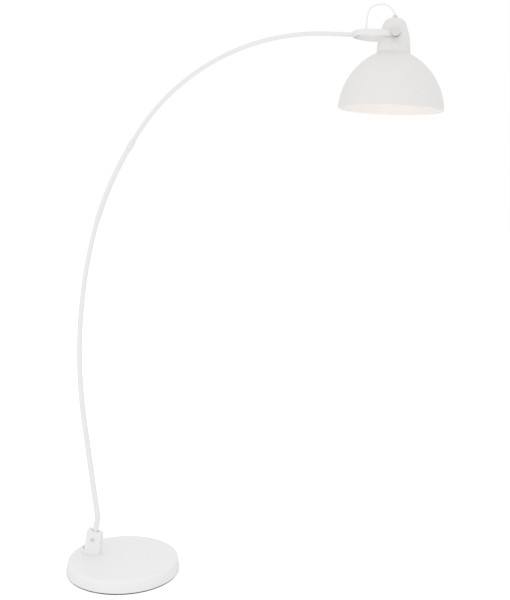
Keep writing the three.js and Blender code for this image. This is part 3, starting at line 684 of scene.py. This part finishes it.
def make_bracket():
    """A raked block, hollow inside, with a slot for the arm in its sloping top."""
    bottom = BASE_TOP + 0.0001
    top = BASE_TOP + BRACKET_HEIGHT
    top_place = at(bracket_middle(BRACKET_HEIGHT), top, BRACKET_SLOPE)
    lean = BRACKET_RAKE - BRACKET_SLOPE  # of the sides, seen from the top
    width = BRACKET_WIDTH * math.cos(BRACKET_RAKE) / math.cos(lean)  # along the top
    length = BRACKET_HEIGHT + width  # reaches below the base's top
    bm = bmesh.new()
    bmesh.ops.create_cube(bm, size=1)
    bmesh.ops.translate(bm, vec=(0, 0, -0.5), verts=bm.verts)
    bmesh.ops.scale(bm, vec=(width, BRACKET_DEPTH, length), verts=bm.verts)
    sheared = Matrix.Shear("XY", 3, (math.tan(lean), 0)).to_4x4()
    bmesh.ops.transform(bm, matrix=sheared, verts=bm.verts)
    roof = next(f for f in bm.faces if abs(f.calc_center_median().z) < CLOSE)
    ends = [e for e in roof.edges if e.verts[0].co.x * e.verts[1].co.x > 0]
    rounded(bm, ends, BRACKET_CORNER, segments=8, affect="EDGES")

    up_tail = top - arm_pivot.z
    from_middle = arm_pivot.x + up_tail * math.tan(TAIL_LEAN) - top_place.translation.x
    reach = up_tail / math.cos(TAIL_LEAN) * math.tan(TILT_LIMIT)
    down_tail = Matrix.Rotation(TAIL_LEAN - BRACKET_SLOPE, 3, "Y") @ Vector((0, 0, -BRACKET_ROOF))
    cut_slot(bm, from_middle * math.cos(BRACKET_SLOPE), reach, down_tail)
    bmesh.ops.transform(bm, matrix=top_place, verts=bm.verts)

    # The foot is cut off level and closed.
    foot = bmesh.ops.bisect_plane(
        bm,
        geom=[*bm.verts, *bm.edges, *bm.faces],
        plane_co=(0, 0, bottom),
        plane_no=(0, 0, 1),
        clear_inner=True,
    )
    bmesh.ops.contextual_create(bm, geom=only(bmesh.types.BMEdge, foot["geom_cut"]))
    bmesh.ops.recalc_face_normals(bm, faces=bm.faces)
    # The edges are rounded, apart from the foot's, which stay sharp where they meet the base.
    rounding = bm.edges.layers.float.new("bevel_weight_edge")
    for edge in bm.edges:
        above = max(vert.co.z for vert in edge.verts) > bottom + WELD
        edge[rounding] = float(above and edge.calc_face_angle(0) > math.radians(40))
    # The bracket takes the lighter white, which is painted light.
    piece = finish_piece("bracket_block", bm, "base", "lamp_white", ["stem_bracket"], base_white_lit)
    give_wall(piece, 0.002, -1)
    edges = piece.modifiers.new("edges", "BEVEL")
    edges.width = 0.0009
    edges.segments = 3
    edges.limit_method = "WEIGHT"


make_bracket()


def make_bracket_fittings():
    bore, body, flange, snout, snout_end = 0.0032, 0.0052, 0.008, 0.0058, 0.008
    outline = [
        (bore, -0.0044),
        (body, -0.0044),
        (body, GAP),
        (flange, GAP, 0.0004),
        (flange, 0.0022, 0.0008),
        (snout + 0.001, 0.0029, 0.0006),
        (snout, snout_end, 0.0006),
        (bore, snout_end, 0.0006),
    ]
    rear_wall = at(
        bracket_middle(BUSH_HEIGHT) - BRACKET_WIDTH / 2,
        BASE_TOP + BUSH_HEIGHT,
        BRACKET_RAKE - math.pi / 2,
    )
    bush = spun(outline, 48, rear_wall)
    finish_piece("inlet_bush", bush, "base", "pale_nylon", ["cord_inlet_bush"], bush_nylon)

    face = BRACKET_DEPTH / 2 + GAP
    front = sideways((arm_pivot.x, -face, arm_pivot.z), -1)
    rear = sideways((arm_pivot.x, face, arm_pivot.z), 1)
    thick, nut_height, past_nut = 0.0015, 0.005, 0.0018
    length = 2 * face + thick + nut_height + past_nut
    head = dict(radius=0.0052, height=0.0033, socket=0.0023, depth=0.002, rounding=0.0016)
    bolt = screw(front, M6_SHANK, length, **head)
    finish_piece("clamp_bolt", bolt, "base", "zinc_steel", ["arm_pivot_bolt"], zinc)
    outline = [(M6_HOLE, 0), (0.0065, 0, 0.0002), (0.0065, thick, 0.0003), (M6_HOLE, thick)]
    washer = spun(outline, 48, rear)
    finish_piece("clamp_washer", washer, "base", "zinc_steel", ["pivot_washer"], zinc)
    nut = hex_nut(rear @ up(thick + GAP), M6_HOLE, 0.005, nut_height)
    finish_piece("clamp_nut", nut, "base", "zinc_steel", ["arm_pivot_nut"], zinc)


make_bracket_fittings()

# ---------------------------------------------------------------- arm

bend_tangent = BEND_RADIUS * math.tan(abs(BEND_TURN) / 2)
lower_line = (
    Bend(at(arm_pivot.x, arm_pivot.z, TAIL_LEAN) @ up(-TAIL_BELOW_BOLT))
    .go(TAIL_BELOW_BOLT + BEND_ABOVE_BOLT - bend_tangent, steps=4)
    .go(BEND_RADIUS * abs(BEND_TURN), BEND_TURN, steps=14)
    .go(FOOT_STRAIGHT - bend_tangent, steps=8)
    .sweep(*LOWER_SWEEP, steps=48)
    .sweep(*MIDDLE_SWEEP, steps=32)
    .go(COLLAR_STRAIGHT)
)
joint_place = lower_line.frames[-1]
upper_line = (
    Bend(joint_place @ up(GAP))
    .go(COLLAR_STRAIGHT)
    .sweep(*UPPER_SWEEP, steps=72)
    .go(HEAD_STRAIGHT + YOKE_SOCKET - GAP, steps=2)
)


def make_arm():
    lower = lower_line.tube(FOOT_RADIUS, TOP_RADIUS)
    finish_piece("arm_lower", lower, "arm", "lamp_white", ["lower_tube"], lamp_white)
    upper = upper_line.tube(UPPER_RADIUS, UPPER_RADIUS)
    finish_piece("arm_upper", upper, "arm", "lamp_white", ["upper_tube"], lamp_white)

    half, outside, room = 0.015, 0.0091, 0.0004
    outline = [
        (TOP_RADIUS + room, -half),
        (outside, -half, 0.0006),
        (outside, half, 0.0012),
        (UPPER_RADIUS + room, half),
        (UPPER_RADIUS + room, 0.0013),
        (TOP_RADIUS + room, GAP),
    ]
    collar = spun(outline, 48, joint_place)
    finish_piece("arm_collar", collar, "arm", "lamp_white", ["joint_collar"], lamp_white)
    outward = joint_place @ sideways((0, UPPER_RADIUS + GAP, 0.008), 1)
    head = dict(radius=0.0019, height=0.002, socket=0.001, depth=0.0012, rounding=0.0003)
    grub = screw_head(outward, **head)
    finish_piece("collar_screw", grub, "arm", "zinc_steel", ["collar_set_screw"], zinc)


make_arm()

# ---------------------------------------------------------------- yoke

yoke_place = at(shade_pivot.x, shade_pivot.z, YOKE_DIP)  # local X runs from the bow to the pivot
along_yoke = yoke_place @ Matrix.Translation((-YOKE_REACH, 0, 0)) @ Z_TO_X


def yoke_frames():
    """Frames round the U of the strap. Their Z axes run along it, and their Y axes point up."""
    middle = YOKE_OUTER - YOKE_THICKNESS / 2
    centre = YOKE_OUTER - YOKE_REACH
    eye = YOKE_HEIGHT / 2
    end_steps, bow_steps = 10, 36
    lowest = 0.08  # share of the height that is left at the ends
    along = Matrix.Rotation(math.pi / 2, 4, "X") @ Z_TO_X
    frames = []

    def strap(x, y, turn, height=1.0):
        place = Matrix.Translation((x, y, 0)) @ Matrix.Rotation(turn, 4, "Z") @ along
        frames.append(yoke_place @ place @ Matrix.Diagonal((1, height, 1, 1)))

    end_angles = [i * math.pi / 2 / end_steps for i in range(1, end_steps + 1)]
    for a in end_angles:
        strap(eye * math.cos(a), -middle, math.pi, max(math.sin(a), lowest))
    strap(centre, -middle, math.pi)
    for i in range(1, bow_steps):
        a = math.pi * i / bow_steps
        height = 1 - (1 - YOKE_NOSE / YOKE_HEIGHT) * math.sin(a)
        strap(centre - middle * math.sin(a), -middle * math.cos(a), math.pi - a, height)
    strap(centre, middle, 0)
    for a in reversed(end_angles):
        strap(eye * math.cos(a), middle, 0, max(math.sin(a), lowest))
    return frames


def make_yoke():
    """A strap bent to a U, with rounded ends, and a socket for the tube at its bow."""
    strap = swept(slab_section(YOKE_THICKNESS, YOKE_HEIGHT, 0.0007), yoke_frames())
    bore = UPPER_RADIUS + GAP
    boss = YOKE_NOSE / 2 + 0.0004
    way = CORD_RADIUS + 0.0015  # for the cord and its grommet
    socket = [
        (bore, -0.0008, 0.0004),
        (bore + 0.0011, -0.0008, 0.0006),
        (boss, 0.0016, 0.0008),
        (boss, YOKE_BOSS, 0.001),
        (way, YOKE_BOSS, 0.0003),
        (way, YOKE_SOCKET),
        (bore, YOKE_SOCKET),
    ]
    merge_in(strap, spun(socket, 64, along_yoke))
    finish_piece("yoke_strap", strap, "arm", "lamp_white", ["shade_yoke"], lamp_white)

    below = along_yoke @ Matrix.Translation((bore, 0, YOKE_SCREW)) @ Z_TO_X
    height = boss + 0.0006 - bore
    head = dict(radius=0.0023, height=height, socket=0.0014, depth=0.0012, rounding=0.0003)
    grub = screw_head(below, **head)
    finish_piece("yoke_screw", grub, "arm", "zinc_steel", ["yoke_set_screw"], black_oxide_and_painted_shade)

    sleeve = way - GAP
    outline = [
        (CORD_BORE, -0.004),
        (sleeve, -0.004),
        (sleeve, GAP),
        (sleeve + 0.0024, GAP, 0.0004),
        (sleeve + 0.0018, 0.002, 0.0008),
        (CORD_BORE, 0.002, 0.0005),
    ]
    grommet = spun(outline, 40, along_yoke @ up(YOKE_BOSS))
    finish_piece("yoke_sleeve", grommet, "arm", "pale_nylon", ["yoke_grommet"], nylon)


make_yoke()


def make_tilt_pivot():
    """The washers between the yoke and the cap, the rear bolt, and the front knob on its stud."""
    front, rear = sideways(shade_pivot, -1), sideways(shade_pivot, 1)
    inner, outer = BOSS_FACE + GAP, YOKE_INNER - GAP
    outline = [(M6_HOLE, inner), (0.01, inner, 0.0003), (0.01, outer, 0.0003), (M6_HOLE, outer)]
    for side, place in (("front", front), ("rear", rear)):
        washer = spun(outline, 64, place)
        node = f"friction_washer_{side}"
        finish_piece(f"{side}_washer", washer, "arm", "pale_nylon", [node], nylon)

    seat = up(YOKE_OUTER + GAP)
    into_boss = 0.012
    reach = YOKE_THICKNESS + (outer - inner) + 3 * GAP + into_boss
    head = dict(radius=0.005, height=0.0055, socket=0.0029, depth=0.0025, rounding=0.0007)
    bolt = screw(rear @ seat, M6_SHANK, reach, **head)
    finish_piece("rear_bolt", bolt, "shade", "zinc_steel", ["rear_pivot_bolt"], zinc)

    # The knob's face is bright. Its side and neck take a dark finish: a painted dark reflection on
    # the side and painted shade in the neck.
    radius, neck, face, rounding = 0.0125, 0.007, 0.0137, 0.0014
    under, bore_end = 0.0022, 0.009
    outline = [
        (0, face),
        (radius, face, rounding),
        (radius, under, 0.0009),
        (neck, under, 0.0004),
        (neck, 0, 0.0003),
        (M6_HOLE, 0),
        (M6_HOLE, bore_end),
        (0, bore_end),
    ]
    knob = spun(outline, closed=False)
    for side in knob.faces:
        side.material_index = int(side.calc_center_median().z < face - rounding)
    bmesh.ops.transform(knob, matrix=front @ seat, verts=knob.verts)
    finish_piece("knob_head", knob, "knob", "nickel", ["pivot_knob"], nickel, black_oxide_and_painted_shade)
    in_knob = bore_end - GAP
    stud = shank(front @ seat @ up(in_knob), M6_SHANK, reach + in_knob)
    finish_piece("knob_thread", stud, "knob", "zinc_steel", ["knob_stud"], zinc)


make_tilt_pivot()

# ---------------------------------------------------------------- shade

# Local Z is the shade's axis, with Z = 0 at its rim.
shade_place = at(shade_pivot.x, shade_pivot.z, SHADE_TILT) @ at(-PIVOT_OFFSET, -PIVOT_HEIGHT)

LUG_DISTANCE = CAP_RADIUS - 0.0075
lug_angles = [2 * math.pi * (third + 0.5) / 3 for third in range(3)]
lug_places = [(LUG_DISTANCE * math.cos(a), LUG_DISTANCE * math.sin(a)) for a in lug_angles]


def dome_side(inset, top):
    """The shade's round side, set in by an inset, from the rim up to a height."""
    radius = ARCH_RADIUS - inset
    start, end = (math.asin((height + ARCH_DROP) / radius) for height in (0, top))
    return arc(ARCH_MIDDLE, -ARCH_DROP, radius, start, end, 40)


def make_shade():
    """Its outer face takes the first finish, and its inner face the second, whose lighter, warmer
    white is partly its own paint and partly painted light.
    """
    outside, inside = dome_side(0, CROWN), dome_side(SHEET, CROWN - SHEET)
    outline = [
        (*inside[0], 0.0006),
        (*outside[0], 0.0006),
        *outside[1:],
        (CROWN_HOLE, CROWN, 0.0004),
        (CROWN_HOLE, CROWN - SHEET, 0.0004),
        *reversed(inside[1:]),
    ]
    bm = spun(outline, 160)
    middle = Vector((ARCH_MIDDLE, 0, -ARCH_DROP))
    halfway = 0.6 * SHEET  # into the sheet
    for face in bm.faces:
        place = face.calc_center_median()
        in_cut = Vector((place.xy.length, 0, place.z))
        under_crown = in_cut.x < CAP_RADIUS and in_cut.z < CROWN - halfway
        inner_side = in_cut.x >= CAP_RADIUS and (in_cut - middle).length < ARCH_RADIUS - halfway
        face.material_index = int(under_crown or inner_side)
    bmesh.ops.transform(bm, matrix=shade_place, verts=bm.verts)
    finish_piece("dome", bm, "shade", "shade_white", ["shade_dome"], shade_white, shade_inside_lit)


make_shade()


def make_cap():
    """A tall cap with a pivot boss on each side and three lugs for the crown's screws."""
    foot = CROWN + 0.0001
    # How far the side has come in, in millimetres, at shares of the height.
    shape = [(0, 0), (1, 0.19), (4.6, 0.465), (11.2, 0.7), (17.8, 0.87), (25.6, 0.957), (36, 0.992)]

    def side(inset):
        height = CAP_TOP - foot - inset
        places = [(CAP_RADIUS - inset - x * 0.001, foot + share * height, 0) for x, share in shape]
        return [(p.x, p.y) for p in smooth_line([*places, (0.0053, foot + height, 0)], 6)]

    wall = 0.002
    cap = spun([*side(0), *reversed(side(wall))], 128)
    root = BOSS_FACE - 0.012
    boss = [
        (M6_HOLE, root),
        (0.011, root),
        (0.011, BOSS_FACE, 0.0008),
        (M6_HOLE, BOSS_FACE, 0.0004),
    ]
    for rear_or_front in (1, -1):
        merge_in(cap, spun(boss, 64, sideways((PIVOT_OFFSET, 0, PIVOT_HEIGHT), rear_or_front)))
    lug_top, bore_top = foot + 0.013, foot + 0.011
    lug = [
        (M4_HOLE, foot),
        (0.0055, foot, 0.0004),
        (0.0055, lug_top, 0.0008),
        (0, lug_top),
        (0, bore_top),
        (M4_HOLE, bore_top),
    ]
    for x, y in lug_places:
        merge_in(cap, spun(lug, 24, Matrix.Translation((x, y, 0)), closed=False))
    bmesh.ops.transform(cap, matrix=shade_place, verts=cap.verts)
    # The cap takes the shade's darker white, which is painted shade.
    finish_piece("cap", cap, "shade", "shade_white", ["neck_cap"], shade_white)


def make_gland():
    top = shade_place @ up(CAP_TOP)
    outline = [
        (CORD_BORE, -0.012),
        (0.005, -0.012, 0.0004),
        (0.005, GAP),
        (0.0079, GAP, 0.0004),
        (0.0079, 0.0034, 0.0005),
        (0.0068, 0.0037),
        (0.007, 0.0041, 0.0003),
        (0.007, 0.0068, 0.001),
        (0.0046, 0.0093, 0.0012),
        (CORD_BORE, 0.0093, 0.0004),
    ]
    finish_piece("gland", spun(outline, 64, top), "shade", "nickel", ["cable_gland"], nickel)
    nut = hex_nut(top @ up(-0.0065), 0.005 + GAP, 0.0082, 0.0035)
    finish_piece("gland_nut", nut, "shade", "zinc_steel", ["gland_locknut"], zinc)


make_cap()
make_gland()

# ---------------------------------------------------------------- lampholder

HOLDER_MOUTH = CROWN - 0.0454
HOLDER_BORE_TOP = CROWN + 0.0066


def make_holder_body():
    top = CROWN + 0.0246
    foot = CROWN + GAP
    flange, flange_top = 0.025, foot + 0.0032
    neck, bore = 0.0178, 0.0143
    outline = [
        (0, top),
        (0.0099, top, 0.002),
        (neck, top - 0.008, 0.002),
        (neck, flange_top, 0.0008),
        (flange, flange_top, 0.0008),
        (flange, foot, 0.0004),
        (HOLDER_RADIUS, foot),
        (HOLDER_RADIUS, HOLDER_MOUTH, 0.0012),
        (bore, HOLDER_MOUTH, 0.0008),
        (bore, HOLDER_BORE_TOP, 0.0006),
        (0, HOLDER_BORE_TOP),
    ]
    body = spun(outline, 96, shade_place, closed=False)
    finish_piece("holder_body", body, "shade", "holder_plastic", ["lampholder_body"], porcelain)


def make_holder_ring():
    """The ring that holds the dome to the lampholder. Grips stand out from its side."""
    steps = 96
    side, lip, grip = 0.0262, 0.027, 0.0006
    top = CROWN - SHEET - GAP
    outline = [
        (CROWN_HOLE, top - 0.007, 0.0005),
        (side, top - 0.007, 0.0009),
        (side, top - 0.001, 0.0004),
        (lip, top - 0.001, 0.0002),
        (lip, top, 0.0002),
        (CROWN_HOLE, top, 0.0003),
    ]
    ring = spun(outline, steps)
    grips = []  # every third strip of the side
    for face in ring.faces:
        place = face.calc_center_median()
        strip = round(math.atan2(place.y, place.x) / (2 * math.pi / steps) - 0.5)
        on_side = abs(face.normal.z) < 0.2 and abs(place.xy.length - side) < 0.0005
        if on_side and strip % 3 == 0:
            grips.append(face)
    grown = bmesh.ops.extrude_discrete_faces(ring, faces=grips)["faces"]
    for vert in {v for f in grown for v in f.verts}:
        vert.co.xy *= 1 + grip / side
    bmesh.ops.transform(ring, matrix=shade_place, verts=ring.verts)
    finish_piece("holder_ring", ring, "shade", "holder_plastic", ["lampholder_ring"], porcelain)


def make_holder_thread():
    """The rolled thread: a wave carried round and up by one pitch in each turn."""
    pitch, turns, steps = 0.0036, 8, 12
    middle, swing = 0.0132, 0.0003
    start = HOLDER_MOUTH + 0.006
    wave = [
        (middle + swing * math.cos(2 * math.pi * i / steps), start + pitch * i / steps)
        for i in range(turns * steps + 1)
    ]
    thread = draw_outline(wave, closed=False)
    spin_round(thread, 72, rise=pitch)
    bmesh.ops.transform(thread, matrix=shade_place, verts=thread.verts)
    shell = finish_piece("holder_thread", thread, "shade", "brass", ["lampholder_shell"], brass)
    give_wall(shell, 0.0005, 0)


def make_holder_contact():
    radius = 0.004
    bottom, top = HOLDER_BORE_TOP - 0.004, HOLDER_BORE_TOP - GAP
    outline = [(0, bottom), (radius, bottom, 0.0012), (radius, top), (0, top)]
    contact = spun(outline, 40, shade_place, closed=False)
    finish_piece("holder_contact", contact, "shade", "brass", ["lampholder_contact"], brass)


def make_crown_screws():
    length = 0.0111
    head = dict(radius=0.0038, height=0.0026, socket=0.0014, depth=0.0012, rounding=0.0009)
    for i, (x, y) in enumerate(lug_places, 1):
        below = Matrix.Translation((x, y, CROWN - SHEET - GAP)) @ Matrix.Rotation(math.pi, 4, "X")
        bolt = screw(shade_place @ below, M4_SHANK, length, **head)
        finish_piece(f"crown_bolt_{i}", bolt, "shade", "zinc_steel", [f"crown_screw_{i}"], zinc)


make_holder_body()
make_holder_ring()
make_holder_thread()
make_holder_contact()
make_crown_screws()

# ---------------------------------------------------------------- finishes of the CAD pieces kept

finishes = {
    "lamp_white": lamp_white,
    # The shade_white slot gets the darker white, which is painted shade.
    "shade_white": shade_white,
    "pad_rubber": pad_felt,
    "cast_iron": cast_iron,
    "zinc_steel": zinc,
    "nickel": nickel,
    "pale_nylon": nylon,
    "holder_plastic": porcelain,
    "brass": brass,
    "cord_white": cord_sheath,
}
for row in frame["record"]["subparts"]:
    node = frame["nodes"][row["node"]]
    node.data.materials.clear()
    node.data.materials.append(finishes[row["material_slot"]])

# ---------------------------------------------------------------- studio


def make_floor():
    """Pale paper. It glows a little to the camera alone, so it looks white and keeps a shadow."""
    bm = bmesh.new()
    bmesh.ops.create_grid(bm, x_segments=1, y_segments=1, size=30)
    mesh = bpy.data.meshes.new("floor")
    bm.to_mesh(mesh)
    bm.free()
    floor = bpy.data.objects.new("floor", mesh)
    bpy.context.scene.collection.objects.link(floor)
    paper = bpy.data.materials.new("floor_paper")
    paper.use_nodes = True
    tree = paper.node_tree
    matt = tree.nodes["Principled BSDF"]
    matt.inputs["Base Color"].default_value = (0.88, 0.88, 0.88, 1)
    matt.inputs["Roughness"].default_value = 1
    matt.inputs["Specular IOR Level"].default_value = 0
    glow = add_node(tree, "ShaderNodeEmission", Strength=0.45)
    both = add_node(tree, "ShaderNodeAddShader")
    tree.links.new(matt.outputs[0], both.inputs[0])
    tree.links.new(glow.outputs[0], both.inputs[1])
    seen = add_node(tree, "ShaderNodeLightPath").outputs["Is Camera Ray"]
    choose = add_node(tree, "ShaderNodeMixShader", Fac=seen)
    tree.links.new(matt.outputs[0], choose.inputs[1])
    tree.links.new(both.outputs[0], choose.inputs[2])
    tree.links.new(choose.outputs[0], tree.nodes["Material Output"].inputs["Surface"])
    mesh.materials.append(paper)


def make_world():
    """Even white light, and white where the camera or a reflection looks past the lamp."""
    world = bpy.data.worlds.new("studio")
    bpy.context.scene.world = world
    world.use_nodes = True
    tree = world.node_tree
    light = tree.nodes["Background"]
    light.inputs["Color"].default_value = (1, 1, 1, 1)
    light.inputs["Strength"].default_value = 1.0
    seen_white = add_node(tree, "ShaderNodeBackground", Color=(1, 1, 1, 1), Strength=1.0)
    path = add_node(tree, "ShaderNodeLightPath")
    camera_ray, glossy_ray = path.outputs["Is Camera Ray"], path.outputs["Is Glossy Ray"]
    either = math_node(tree, "MAXIMUM", camera_ray, glossy_ray)
    choose = add_node(tree, "ShaderNodeMixShader", Fac=either)
    tree.links.new(light.outputs[0], choose.inputs[1])
    tree.links.new(seen_white.outputs[0], choose.inputs[2])
    tree.links.new(choose.outputs[0], tree.nodes["World Output"].inputs["Surface"])


def make_softbox(name, place, target, size, power):
    """A rectangular light that neither the camera nor a reflection sees."""
    data = bpy.data.lights.new(name, "AREA")
    data.shape = "RECTANGLE"
    data.size, data.size_y = size
    data.energy = power
    lamp = bpy.data.objects.new(name, data)
    bpy.context.scene.collection.objects.link(lamp)
    lamp.location = place
    lamp.rotation_euler = (Vector(target) - Vector(place)).to_track_quat("-Z", "Y").to_euler()
    lamp.visible_camera = False
    lamp.visible_glossy = False


make_floor()
make_world()
make_softbox("front_light", (0.3, -3.4, 0.4), (0.2, 0, 0.2), (3.0, 1.2), power=15)
make_softbox("shade_glow", (0.8, 0, 1.15), (0.8, 0, 1.6), (0.5, 0.5), power=0.38)
bpy.context.scene.view_settings.view_transform = "Standard"
